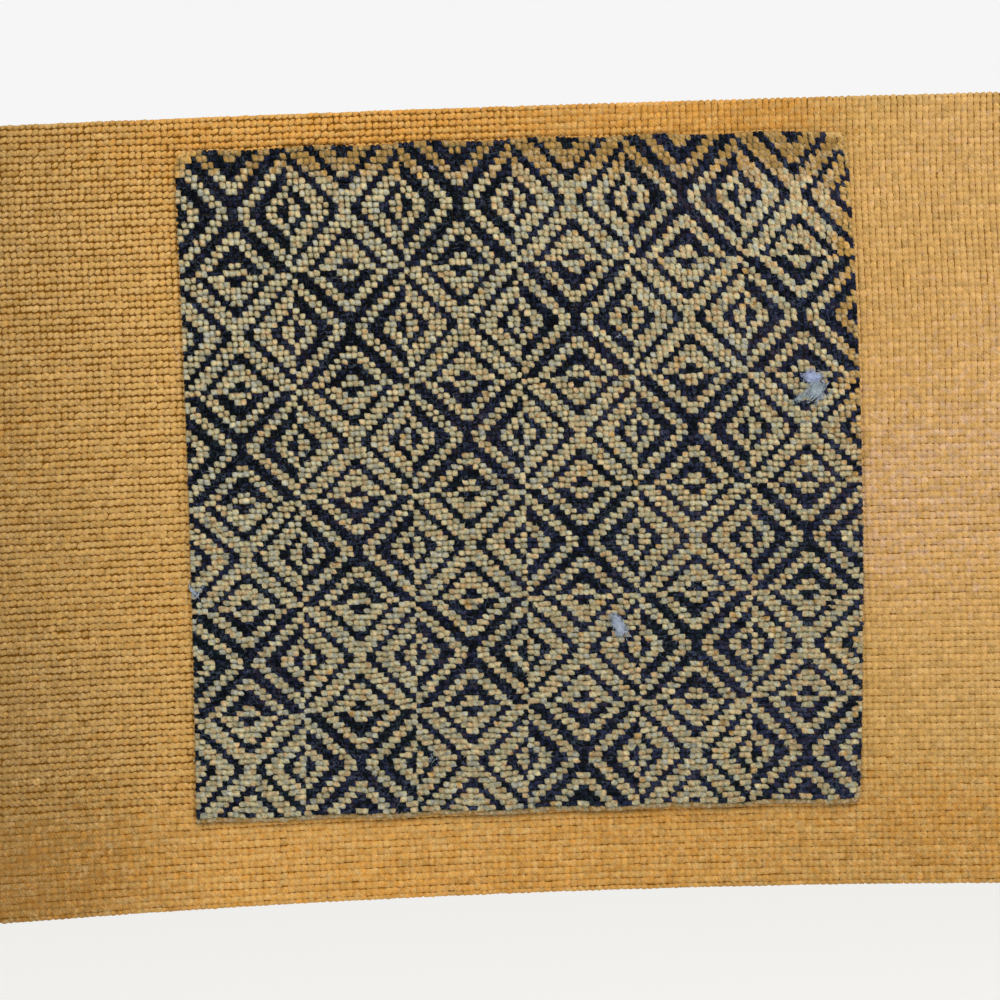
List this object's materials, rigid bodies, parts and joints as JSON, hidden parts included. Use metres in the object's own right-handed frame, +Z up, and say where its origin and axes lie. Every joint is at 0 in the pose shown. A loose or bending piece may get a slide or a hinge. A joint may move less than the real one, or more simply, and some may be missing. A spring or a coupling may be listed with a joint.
{
  "type": "stitched diamond square wall hanging on ochre cloth",
  "caption": "Flat wall hanging: a square stitched in dark and straw diamonds lies on a stitched ochre cloth with turned hems, hung by its top edge.",
  "frame": {"origin": "middle of the top edge, in the plane of the hem's back", "axes": "+Z up, +X to the right as seen from the front, the stitched face towards -Y"},
  "size_m": [0.4716, 0.0068, 0.3645],
  "materials": {
    "ochre_yarn": "close rounded ochre yarn stitches in rows, matt",
    "straw_yarn": "close rounded straw yarn stitches, matt",
    "dark_yarn": "close rounded blue-black yarn stitches, matt"
  },
  "bodies": {
    "root": {"ground_cloth": "ochre_yarn", "diamond_square": "straw_yarn"}
  },
  "joints": []
}
